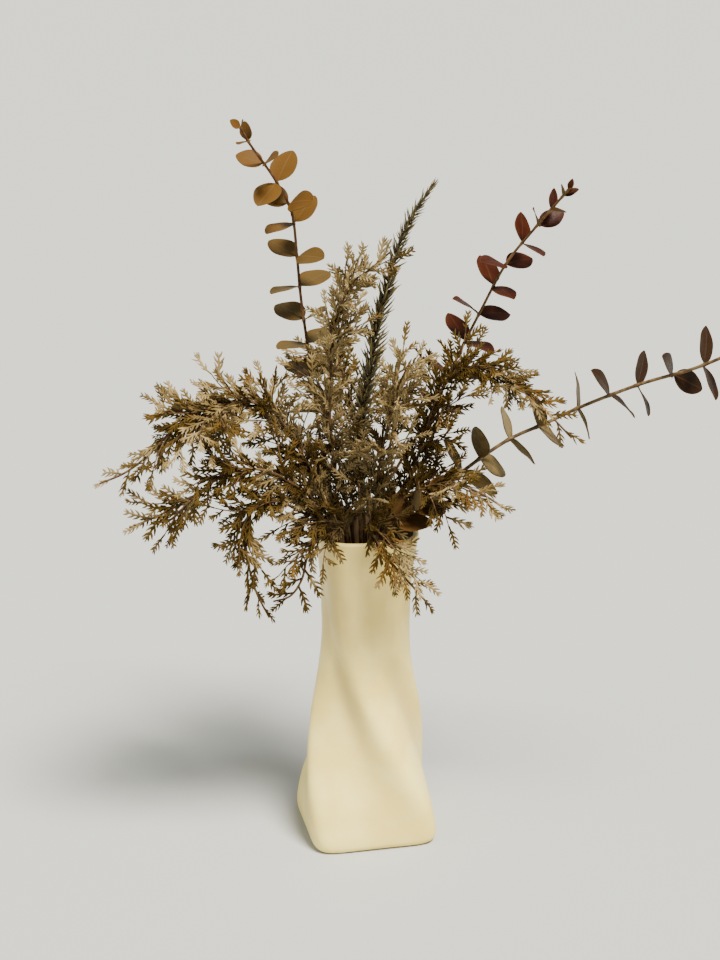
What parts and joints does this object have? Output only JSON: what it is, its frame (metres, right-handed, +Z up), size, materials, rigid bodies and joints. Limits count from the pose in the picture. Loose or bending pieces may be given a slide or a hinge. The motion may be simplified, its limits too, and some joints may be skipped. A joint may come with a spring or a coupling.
{
  "type": "dried flower arrangement in vase",
  "caption": "Twisted rounded-square ceramic vase holding dried eucalyptus stems, a foxtail spike and drooping feathery sprays.",
  "frame": {"origin": "centre of the vase's flat foot, on the surface it stands on", "axes": "+Z up through the vase, -Y towards the front, from where the arrangement is seen, +X to the right, where the longest eucalyptus stem reaches"},
  "size_m": [0.4638, 0.2173, 0.5276],
  "materials": {
    "ceramic": "satin cream glaze",
    "leaf_golden": "dry leaf, golden brown to olive tan",
    "leaf_oxblood": "dry leaf, dark red brown, slightly glossy",
    "leaf_olive": "dry leaf, tan olive to dark brown",
    "leaf_brown": "dry leaf, dark brown",
    "foxtail": "matte dry needles, dark olive",
    "feathery": "matte dry twigs, taupe"
  },
  "bodies": {
    "root": {"vase": "ceramic", "eucalyptus_upper_left": "leaf_golden", "eucalyptus_upper_right": "leaf_oxblood", "eucalyptus_right": "leaf_olive", "eucalyptus_rim": "leaf_brown", "foxtail_spike": "foxtail", "spray_left_high": "feathery", "spray_left_low": "feathery", "spray_left_hanging": "feathery", "spray_rim_left": "feathery", "spray_centre_tall": "feathery", "spray_centre_pale": "feathery", "spray_right_high": "feathery", "spray_right_low": "feathery", "spray_rim_front": "feathery", "spray_back": "feathery"}
  },
  "joints": []
}
